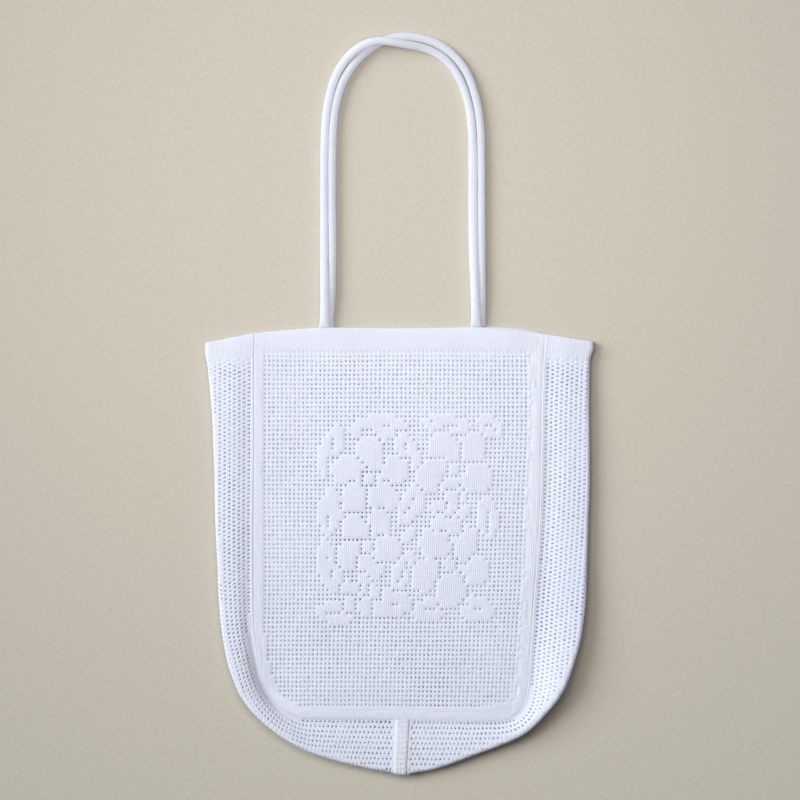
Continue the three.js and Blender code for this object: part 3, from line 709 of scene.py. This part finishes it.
# Round the fold the stitches close up: row of the table, mm before the fold's outer line, mm after it, and how knobbly they stand there.
LEFT_FOLD = [(0, 4.6, 3.0, 0.15), (8, 5.2, 3.0, 0.25), (10, 7.2, 4.0, 0.7), (12, 9.0, 5.0, 0.9), (14, 8.0, 4.5, 0.9), (17, 5.5, 4.0, 0.7)]
RIGHT_FOLD = [(0, 2.6, 2.2, 0.8), (7, 2.9, 2.2, 0.9), (9, 6.0, 3.5, 0.9), (11.5, 9.5, 5.0, 1.0), (14, 8.5, 4.5, 1.0), (17, 5.5, 4.0, 0.8)]


class Gusset:
    """The lattice of a gusset strip: column j across, from the seam on top round the fold to the seam underneath, and row m along."""

    def __init__(self, is_left):
        self.is_left = is_left
        self.columns = (LEFT_LATTICE if is_left else RIGHT_LATTICE)[0]
        k = np.linspace(0, 17, 3400)
        seam, fold = gusset_stations(is_left, k)
        path = seam * 0.5 + fold * 0.5
        run = np.concatenate([[0], np.cumsum(np.linalg.norm(np.diff(path, axis=0), axis=1))])
        self.length = run[-1]
        self.rows = int(round(run[-1] / GUSSET_PITCH))
        self.k_of = lambda b: np.interp(b * run[-1] / self.rows, run, k)
        m = np.arange(0, 2 * self.rows + 1) / 2
        self.m = m
        km = self.k_of(m)
        p, n, length, top_length = section_lines(is_left, km)
        # where each column's edge lies along the section: an even pitch on top and round the fold, the rest shared out underneath
        first_at, pitch_at = (LEFT_LATTICE if is_left else RIGHT_LATTICE)[1:]
        margin = np.interp(km, LATTICE_AT, first_at)
        pitch = np.interp(km, LATTICE_AT, pitch_at)
        self.samples = 8
        j = np.arange(0, self.columns * self.samples + 1) / self.samples
        self.j = j
        first = margin[:, None] + pitch[:, None] * j[None]
        end = length[:, -1] - np.minimum(margin, 1.5)
        turn_at = top_length + 3.5
        turn_j = (turn_at - margin) / pitch
        rest = turn_at[:, None] + (end - turn_at)[:, None] * (j[None] - turn_j[:, None]) / (self.columns - turn_j)[:, None]
        want = np.where(j[None] <= turn_j[:, None], first, rest)
        self.want, self.apex = want, top_length
        self.p = np.zeros((len(km), len(j), 3))
        self.n = np.zeros((len(km), len(j), 3))
        self.edge_p = np.zeros((len(km), 2, 3))
        self.edge_n = np.zeros((len(km), 2, 3))
        for row in range(len(km)):
            for axis in range(3):
                self.p[row, :, axis] = np.interp(want[row], length[row], p[row, :, axis])
                self.n[row, :, axis] = np.interp(want[row], length[row], n[row, :, axis])
        self.edge_p[:, 0], self.edge_p[:, 1] = p[:, 0], p[:, -1]
        self.edge_n[:, 0], self.edge_n[:, 1] = n[:, 0], n[:, -1]
        # one more sample past each end, for the plain margin beside the seam
        self.p = np.concatenate([self.edge_p[:, :1], self.p, self.edge_p[:, 1:]], 1)
        self.n = np.concatenate([self.edge_n[:, :1], self.n, self.edge_n[:, 1:]], 1)
        self.j_all = np.concatenate([[-1.0], j, [self.columns + 1.0]])
        self.km = km

    def place(self, at):
        a = np.clip(at[:, 0], -1, self.columns + 1)
        b = np.clip(at[:, 1], 0, self.rows) * 2
        fa = np.interp(a, self.j_all, np.arange(len(self.j_all)))
        ia = np.minimum(fa.astype(int), len(self.j_all) - 2)
        ib = np.minimum(b.astype(int), len(self.m) - 2)
        ta, tb = (fa - ia)[:, None], (b - ib)[:, None]

        def mix(g):
            return (g[ib, ia] * (1 - ta) + g[ib, ia + 1] * ta) * (1 - tb) + (g[ib + 1, ia] * (1 - ta) + g[ib + 1, ia + 1] * ta) * tb

        n = mix(self.n)
        return mix(self.p), n / np.linalg.norm(n, axis=1)[:, None]


GUSSET_BAND = 20.0  # mm of solid cloth at the mouth
END_SEAM = 12.0  # mm of solid cloth at the seam under the bag


def gusset_net(name, g, seed):
    nj, rows = g.columns, g.rows
    js = np.arange(-1, nj + 2)
    nm = 2 * rows
    # outline points: on the column lines at each half row, then in the middle of each column at each half row
    line = np.arange(len(js) * (nm + 1)).reshape(len(js), nm + 1)
    mid = line.size + np.arange((len(js) - 1) * (nm + 1)).reshape(len(js) - 1, nm + 1)
    a1, b1 = np.meshgrid(js.astype(float), np.arange(nm + 1) / 2, indexing="ij")
    a2, b2 = np.meshgrid(js[:-1] + 0.5, np.arange(nm + 1) / 2, indexing="ij")
    at = np.concatenate([np.stack([a1.ravel(), b1.ravel()], -1), np.stack([a2.ravel(), b2.ravel()], -1)])
    rings, halves, column, row = [], [], [], []
    for c in range(len(js) - 1):
        off = int(js[c]) % 2
        m0 = np.arange(off, nm - 1 - (0 if off == 0 else 0), 2)
        m0 = m0[m0 + 2 <= nm]
        rings.append(
            np.stack(
                [line[c, m0], line[c, m0 + 1], line[c, m0 + 2], mid[c, m0 + 2], line[c + 1, m0 + 2], line[c + 1, m0 + 1], line[c + 1, m0], mid[c, m0]],
                -1,
            )
        )
        column.append(np.full(len(m0), js[c]))
        row.append(m0 / 2)
        if off:
            halves.append([line[c, 0], line[c, 1], mid[c, 1], line[c + 1, 1], line[c + 1, 0], mid[c, 0]])
            halves.append([line[c, nm - 1], line[c, nm], mid[c, nm], line[c + 1, nm], line[c + 1, nm - 1], mid[c, nm - 1]])
    rings, column, row = np.concatenate(rings), np.concatenate(column), np.concatenate(row)
    halves = np.array(halves)
    r = np.random.default_rng(seed)
    kk = g.k_of(row + 0.5)
    along = (row + 0.5) * g.length / rows
    at_row = np.minimum((2 * row + 1).astype(int), nm)
    inner = np.clip(column, 0, nj - 1).astype(int)
    arc = g.want[at_row, inner * g.samples + g.samples // 2]
    pitch = g.want[at_row, (inner + 1) * g.samples] - g.want[at_row, inner * g.samples]
    fold = LEFT_FOLD if g.is_left else RIGHT_FOLD
    before, after, knobs = (np.interp(kk, [f[0] for f in fold], [f[i] for f in fold]) for i in (1, 2, 3))
    past = arc - g.apex[at_row]
    ragged = 0.9 * waves(row, 0 * row, seed + 9, 3.0, 1.0)
    by_fold = (past > -before + ragged) & (past < after)
    is_open = (column >= 0) & (column < nj) & (along > GUSSET_BAND) & (along < g.length - (END_SEAM + 1.0 if g.is_left else 2.0))
    is_open &= pitch > 2.5
    if g.is_left:  # the plain cloth of the pocket beside the seam at the corner
        is_open &= ~((column == 0) & (kk > 8.6) & (kk < 13.8)) & ~((column == 1) & (kk > 9.3) & (kk < 13.2))
    else:
        is_open &= ~((column == 0) & (kk > 11.0) & (kk < 13.0))
    steps = along - GUSSET_BAND
    first = steps < 3.8
    second = (steps >= 3.8) & (steps < 7.6)
    n = len(rings)
    # a is across and b runs down the strip, so a hole that leans up to the right in the picture turns with the side
    tilt = np.radians(24.0 if g.is_left else -20.0)
    grow = np.where(by_fold, 0.42, 1.0) * np.where(first, 0.5, np.where(second, 0.8, 1.0)) * (1 + 0.09 * r.normal(size=n)) * (1 + waves(column, row, seed + 3, 6.0, 0.08))
    # the holes are drawn out beside the seam near the mouth, and narrow where the strip runs under the bag
    drawn = np.exp(-((steps / 26.0) ** 2)) * (column < 2.5) * (1.0 if g.is_left else 0.0)
    bottom = np.clip((kk - 13.0) / 1.5, 0, 1)
    half_a = 0.215 + 0.07 * drawn - 0.035 * bottom
    half_b = 0.185 - 0.05 * drawn + 0.03 * bottom
    hole = np.stack([half_a * grow, half_b * grow, tilt + 0.25 * drawn + np.radians(7) * r.normal(size=n), 0.02 * r.normal(size=n), 0.02 * r.normal(size=n)], -1)
    # where the stitches close up altogether they stand as small knobs
    knobs = np.where(by_fold & ~is_open & (along > GUSSET_BAND), knobs, 0.0)
    height = np.concatenate([np.full(line.size, 0.66), np.full(mid.size, 0.78)])
    solid = np.zeros(len(at))
    count = np.zeros(len(at))
    knob = np.zeros(len(at))
    np.add.at(count, rings.ravel(), 1)
    np.add.at(solid, rings.ravel(), np.repeat(~is_open, 8))
    np.add.at(knob, rings.ravel(), np.repeat(knobs, 8))
    share = solid / np.maximum(count, 1)
    knob = knob / np.maximum(count, 1)
    height = height * (1 + 0.08 * r.normal(size=len(at))) * (1 - share) + 0.68 * share
    height = height * (1 - 0.70 * knob)
    core_height = 0.97 + 5.0 * knobs
    # the cloth's own edge is thinner, so that it meets the panel softly
    edge = (at[:, 0] < -0.5) | (at[:, 0] > nj + 0.5)
    height = np.where(edge, 0.7, height)
    jitter = r.normal(size=at.shape) * 0.02
    jitter[edge] = 0
    jitter[(at[:, 1] == 0) | (at[:, 1] == rows)] = 0
    return net_mesh(
        name,
        rings,
        is_open,
        halves,
        at + jitter,
        g.place,
        height,
        hole,
        core_height=core_height,
        lay=lambda spots, s: np.column_stack([spots[:, 0] * 2, spots[:, 1] * 3, s]),
        flip=not g.is_left,
    )


def end_seam(name, g):
    """The ribbed seam allowance under the middle of the bag, a strip over the last stretch of the left gusset."""
    across = np.concatenate([[-1.0, -0.5], np.linspace(0, g.columns, g.columns * 4 + 1), [g.columns + 0.5, g.columns + 1.0]])
    q = np.linspace(0, 1, 25)
    lift = 0.70 + 0.95 * np.minimum(1, np.minimum(q / 0.10, (1 - q) / 0.07)) ** 0.6 + 0.08 * np.cos(2 * math.pi * q * 4) * np.minimum(1, np.minimum(q, 1 - q) / 0.1)
    b = g.rows - END_SEAM / g.length * g.rows * (1 - q)
    a2, b2 = np.meshgrid(across, b, indexing="ij")
    p, n = g.place(np.stack([a2.ravel(), b2.ravel()], -1))
    shape = (len(across), len(q), 3)
    p, n = p.reshape(shape), n.reshape(shape)
    wobble = 1 + 0.06 * waves(a2, b2 * 3, 77, 2.0, 1.0) + 0.16 * np.sin(2 * math.pi * (a2 + 0.35 * np.abs(q[None] * 2 - 1))) * np.minimum(1, np.minimum(q, 1 - q) / 0.15)[None]
    top = p + n * (lift[None] * wobble)[..., None]
    low = p - n * 0.75
    top[..., 2] = np.maximum(top[..., 2], 0.02)
    low[..., 2] = np.maximum(low[..., 2], 0.02)
    points, quads = closed_strip(top, low)
    quads = quads[:, ::-1]
    lay = np.column_stack([np.tile(np.tile(q * 8, len(across)), 2), np.tile(np.repeat(across * 3, len(q)), 2), np.ones(2 * len(q) * len(across))])
    return mesh_piece(name, points, quads, None, lay)


# ------------------------------------------------------------------ the handles
WALES, TUBE_SIDES = 12, 48
TUBE_FULL = 7.25  # over the stitches' crowns


def handle(name, rows, column, seed, spread):
    t = table(rows, ROUTE_COLUMNS)
    last = len(rows) - 1
    k = np.linspace(0, last, last * 60 + 1)
    fine = np.stack([smooth(t[c], k) for c in ROUTE_COLUMNS], -1)
    run = np.concatenate([[0], np.cumsum(np.linalg.norm(np.diff(fine, axis=0), axis=1))])
    total = run[-1]
    n = int(round(total / 0.95))
    s = np.linspace(0, total, n + 1)
    p = np.stack([np.interp(s, run, fine[:, i]) for i in range(3)], -1)
    edge = np.array([mouth_at(column, p[0, 0]), mouth_at(column, p[-1, 0])])
    # the ends go down to the band's edge and a little into it
    p[0, 1], p[-1, 1] = edge[0] - 0.5, edge[1] - 0.5
    tangent = np.gradient(p, axis=0)
    for _ in range(3):
        tangent[1:-1] = (tangent[:-2] + tangent[1:-1] + tangent[2:]) / 3
    tangent[0], tangent[-1] = (0, 1, 0), (0, -1, 0)
    tangent /= np.linalg.norm(tangent, axis=1)[:, None]
    side = np.cross(tangent, (0, 0, 1.0))
    side /= np.linalg.norm(side, axis=1)[:, None]
    up = np.cross(side, tangent)
    end = np.minimum(s, total - s)
    round_ = np.minimum(1, end / FOOT_LENGTH) ** 0.7
    wide = FOOT_WIDE + (TUBE_FULL - FOOT_WIDE) * round_
    high = FOOT_HIGH + (TUBE_FULL - FOOT_HIGH) * round_
    flare = np.exp(-((end / 3.0) ** 2))
    wide = wide + 1.2 * flare
    high = high * (1 - 0.35 * flare)
    p[:, 2] = np.maximum(p[:, 2], high / 2 + 0.03)
    angle = 2 * math.pi * np.arange(TUBE_SIDES) / TUBE_SIDES
    # where the two tubes run side by side at the right, the front one lies a little flattened
    wide = wide * (1 + spread * np.exp(-(((s / total - 0.82) / 0.10) ** 4)))
    slow = 1 + 0.016 * waves(s[:, None] + 0 * angle, 0 * s[:, None] + 0 * angle, seed, 9.0, 1.0)
    twist = 0.004 * s[:, None]
    wale = 0.5 + 0.5 * np.cos(WALES * (angle[None] + twist))
    stitch = 0.5 + 0.5 * np.cos(2 * math.pi * (s[:, None] / 1.9 + 0.5 * np.abs(((angle[None] + twist) * WALES / (2 * math.pi)) % 1 - 0.5)))
    grow = slow * (0.955 + 0.045 * wale**0.7) + 0.010 * (stitch - 0.5)
    ring = (
        p[:, None]
        + side[:, None] * (np.cos(angle)[None] * grow * wide[:, None] / 2)[..., None]
        + up[:, None] * (np.sin(angle)[None] * grow * high[:, None] / 2)[..., None]
    )
    ring[..., 2] = np.maximum(ring[..., 2], 0.02)
    points = np.concatenate([ring.reshape(-1, 3), p[:1], p[-1:]])
    ids = np.arange((n + 1) * TUBE_SIDES).reshape(n + 1, TUBE_SIDES)
    nxt = np.roll(ids, -1, axis=1)
    quads = np.stack([ids[:-1], ids[1:], nxt[1:], nxt[:-1]], -1).reshape(-1, 4)
    first, final = len(points) - 2, len(points) - 1
    tris = np.concatenate(
        [
            np.stack([ids[0], nxt[0], np.full(TUBE_SIDES, first)], -1),
            np.stack([nxt[-1], ids[-1], np.full(TUBE_SIDES, final)], -1),
        ]
    )
    lay = np.zeros((len(points), 3))
    lay[:-2, 0] = np.tile(np.arange(TUBE_SIDES) * WALES / TUBE_SIDES, n + 1)
    lay[:-2, 1] = np.repeat(s / 1.9, TUBE_SIDES)
    lay[:, 2] = 1
    ob = mesh_piece(name, points, quads, tris, lay)
    path = p.copy()
    path[:, :2] += SHIFT
    path *= MM
    length = float(np.linalg.norm(np.diff(path, axis=0), axis=1).sum())
    return ob, path, length


# ------------------------------------------------------------------ the camera first, then the cords
camera_data = bpy.data.cameras.new("camera")
camera_data.lens, camera_data.sensor_width = 100.0, 36.0
camera_data.clip_start, camera_data.clip_end = 0.1, 20.0
camera = bpy.data.objects.new("camera", camera_data)
bpy.context.scene.collection.objects.link(camera)
camera.location = (0.00062, 0.00296, 2.006)
camera.rotation_euler = (0, 0, 0)
bpy.context.scene.camera = camera

handle_front, path_front, length_front = handle("front_handle_tube", FRONT_HANDLE, "front", 11, 0.17)
handle_back, path_back, length_back = handle("back_handle_tube", BACK_HANDLE, "back", 12, -0.03)


# ------------------------------------------------------------------ materials
def knit(name, base, shade, wale_depth, bump_distance, thinness):
    m = bpy.data.materials.new(name)
    m.use_nodes = True
    nt = m.node_tree
    nt.nodes.clear()

    def node(kind, **values):
        x = nt.nodes.new(kind)
        for key, value in values.items():
            setattr(x, key, value)
        return x

    def math_node(operation, a, b=None, c=None, clamp=False):
        x = node("ShaderNodeMath", operation=operation, use_clamp=clamp)
        for socket, value in zip(x.inputs, (a, b, c)):
            if value is None:
                continue
            if isinstance(value, (int, float)):
                socket.default_value = value
            else:
                nt.links.new(value, socket)
        return x.outputs[0]

    out = node("ShaderNodeOutputMaterial")
    bsdf = node("ShaderNodeBsdfPrincipled")
    # thin cotton lets a good part of the light through
    through = node("ShaderNodeBsdfTranslucent")
    both = node("ShaderNodeMixShader")
    nt.links.new(bsdf.outputs[0], both.inputs[1])
    nt.links.new(through.outputs[0], both.inputs[2])
    nt.links.new(both.outputs[0], out.inputs[0])
    bsdf.inputs["Metallic"].default_value = 0.0
    bsdf.inputs["IOR"].default_value = 1.5
    bsdf.inputs["Specular IOR Level"].default_value = 0.25
    bsdf.inputs["Sheen Weight"].default_value = 0.12
    bsdf.inputs["Sheen Roughness"].default_value = 0.5

    lay = node("ShaderNodeAttribute", attribute_name="lay", attribute_type="GEOMETRY")
    parts = node("ShaderNodeSeparateXYZ")
    nt.links.new(lay.outputs["Vector"], parts.inputs[0])
    across, along, solid = parts.outputs

    nt.links.new(math_node("MULTIPLY_ADD", solid, -0.08, thinness), both.inputs[0])

    # stitches of plain knitting: each wale is a column of little V shapes
    wale = math_node("ABSOLUTE", math_node("SUBTRACT", math_node("FRACT", across), 0.5))  # 0 in the middle, 0.5 in the groove
    groove = math_node("POWER", math_node("MULTIPLY", wale, 2.0), 3.0)
    lean = math_node("MULTIPLY_ADD", wale, 0.9, along)
    leg = math_node("MULTIPLY_ADD", math_node("SINE", math_node("MULTIPLY", lean, 2 * math.pi)), 0.5, 0.5)
    stitch = math_node("SUBTRACT", math_node("MULTIPLY", leg, 0.6), math_node("MULTIPLY", groove, wale_depth))

    coord = node("ShaderNodeTexCoord")
    fine = node("ShaderNodeTexNoise")
    fine.inputs["Scale"].default_value = 900.0
    fine.inputs["Detail"].default_value = 3.0
    nt.links.new(coord.outputs["Object"], fine.inputs["Vector"])
    soft = node("ShaderNodeTexNoise")
    soft.inputs["Scale"].default_value = 26.0
    soft.inputs["Detail"].default_value = 4.0
    nt.links.new(coord.outputs["Object"], soft.inputs["Vector"])

    amount = math_node("MULTIPLY_ADD", solid, 0.75, 0.25)
    height = math_node("ADD", math_node("MULTIPLY", stitch, amount), math_node("MULTIPLY", fine.outputs["Fac"], 0.55))
    bump = node("ShaderNodeBump")
    bump.inputs["Strength"].default_value = 0.55
    bump.inputs["Distance"].default_value = bump_distance
    nt.links.new(height, bump.inputs["Height"])
    nt.links.new(bump.outputs[0], bsdf.inputs["Normal"])

    # colour: white cotton with soft cloudy variation, and painted shade, bluer and darker, in the grooves between the
    # wales
    tone = math_node("MULTIPLY_ADD", soft.outputs["Fac"], 0.9, 0.05, clamp=True)
    # painted shade: the grooves between wales are darkened towards the ramp's bluer dark end, more on solid cloth
    groove_shade = math_node("MULTIPLY", groove, math_node("MULTIPLY", solid, 0.35))
    tone = math_node("SUBTRACT", tone, groove_shade, clamp=True)
    tone = math_node("MULTIPLY_ADD", fine.outputs["Fac"], 0.25, tone, clamp=True)
    ramp = node("ShaderNodeValToRGB")
    ramp.color_ramp.elements[0].color = (*shade, 1)
    ramp.color_ramp.elements[1].color = (*base, 1)
    ramp.color_ramp.elements[0].position = 0.0
    ramp.color_ramp.elements[1].position = 0.62
    nt.links.new(tone, ramp.inputs[0])
    nt.links.new(ramp.outputs[0], bsdf.inputs["Base Color"])
    nt.links.new(ramp.outputs[0], through.inputs["Color"])
    rough = math_node("MULTIPLY_ADD", fine.outputs["Fac"], 0.12, 0.84)
    nt.links.new(rough, bsdf.inputs["Roughness"])
    return m


net_material = knit("openwork_cotton", (0.875, 0.898, 0.99), (0.80, 0.832, 0.94), 0.7, 0.0008, 0.47)
strip_material = knit("seam_cotton", (0.90, 0.925, 1.0), (0.835, 0.868, 0.975), 0.6, 0.0007, 0.50)
tube_material = knit("tube_cotton", (0.90, 0.922, 0.99), (0.84, 0.865, 0.955), 0.5, 0.0006, 0.66)


def finish_piece(ob, material, slot, *stands_for):
    ob.data.materials.append(material)
    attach(ob, "root")
    if stands_for:
        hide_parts(*stands_for)


# ------------------------------------------------------------------ the pieces
def flat_height(x, y):
    return np.full(np.shape(x), 0.98)


front_net = panel_net("front_net", "front", loft_at, True, 21)
back_net = panel_net("back_net", "back", flat_height, False, 22, slip=(0.3, 0.35), drift=(15, 15.0, 1.5), tall=(0.66, 0.74, 0.45))
front_seam = seam_strip("front_seam", "front", loft_at, True, 0.8, seed=31)
back_seam = seam_strip("back_seam", "back", flat_height, False, 0.95, seed=32)
left_gusset, right_gusset = Gusset(True), Gusset(False)
left_net = gusset_net("left_gusset_net", left_gusset, 23)
right_net = gusset_net("right_gusset_net", right_gusset, 24)
bottom_seam = end_seam("bottom_seam", left_gusset)

finish_piece(front_net, net_material, "openwork_knit", "front_panel")
finish_piece(back_net, net_material, "openwork_knit", "back_panel")
finish_piece(front_seam, strip_material, "openwork_knit")
finish_piece(back_seam, strip_material, "openwork_knit")
finish_piece(left_net, net_material, "openwork_knit", "gusset_left")
finish_piece(right_net, net_material, "openwork_knit", "gusset_right")
finish_piece(bottom_seam, strip_material, "openwork_knit")
finish_piece(handle_front, tube_material, "knitted_tube", "handle_front")
finish_piece(handle_back, tube_material, "knitted_tube", "handle_back")


# ------------------------------------------------------------------ the floor and the light
def floor():
    me = bpy.data.meshes.new("floor")
    s = 3.0
    me.from_pydata([(-s, -s, 0), (s, -s, 0), (s, s, 0), (-s, s, 0)], [], [(0, 1, 2, 3)])
    ob = bpy.data.objects.new("floor", me)
    bpy.context.scene.collection.objects.link(ob)
    m = bpy.data.materials.new("floor")
    m.use_nodes = True
    nt = m.node_tree
    bsdf = nt.nodes["Principled BSDF"]
    bsdf.inputs["Roughness"].default_value = 0.9
    bsdf.inputs["Specular IOR Level"].default_value = 0.2
    coord = nt.nodes.new("ShaderNodeTexCoord")
    wide = nt.nodes.new("ShaderNodeTexNoise")
    wide.inputs["Scale"].default_value = 260.0
    wide.inputs["Detail"].default_value = 3.0
    nt.links.new(coord.outputs["Object"], wide.inputs["Vector"])
    ramp = nt.nodes.new("ShaderNodeValToRGB")
    ramp.color_ramp.elements[0].color = (0.436, 0.402, 0.350, 1)
    ramp.color_ramp.elements[0].position = 0.3
    ramp.color_ramp.elements[1].color = (0.462, 0.431, 0.378, 1)
    ramp.color_ramp.elements[1].position = 0.7
    nt.links.new(wide.outputs["Fac"], ramp.inputs[0])
    nt.links.new(ramp.outputs[0], bsdf.inputs["Base Color"])
    me.materials.append(m)
    return ob


floor()


def area_light(name, place, target, size, energy, colour):
    data = bpy.data.lights.new(name, "AREA")
    data.shape = "SQUARE"
    data.size = size
    data.energy = energy
    data.color = colour
    ob = bpy.data.objects.new(name, data)
    ob.location = place
    ob.rotation_mode = "QUATERNION"
    ob.rotation_quaternion = (Vector(target) - Vector(place)).to_track_quat("-Z", "Y")
    ob.visible_camera = False
    bpy.context.scene.collection.objects.link(ob)
    return ob


OVERHEAD, WINDOW, SKY = 4.8, 3.85, 0.18
area_light("overhead", (-0.06, 0.24, 0.80), (0, 0.12, 0), 0.5, OVERHEAD, (1.0, 0.955, 0.903))
sun = bpy.data.lights.new("window", "SUN")
sun.energy = WINDOW
sun.angle = math.radians(38.0)
sun.color = (0.91, 0.97, 1.0)
sun_object = bpy.data.objects.new("window", sun)
sun_object.rotation_mode = "QUATERNION"
sun_object.rotation_quaternion = Vector((0.794, -0.270, -0.545)).to_track_quat("-Z", "Y")
bpy.context.scene.collection.objects.link(sun_object)
world = bpy.data.worlds.new("world")
bpy.context.scene.world = world
world.use_nodes = True
world.node_tree.nodes["Background"].inputs[0].default_value = (1.0, 0.91, 0.80, 1)
world.node_tree.nodes["Background"].inputs[1].default_value = SKY
bpy.context.scene.view_settings.view_transform = "Standard"
bpy.context.scene.view_settings.look = "None"
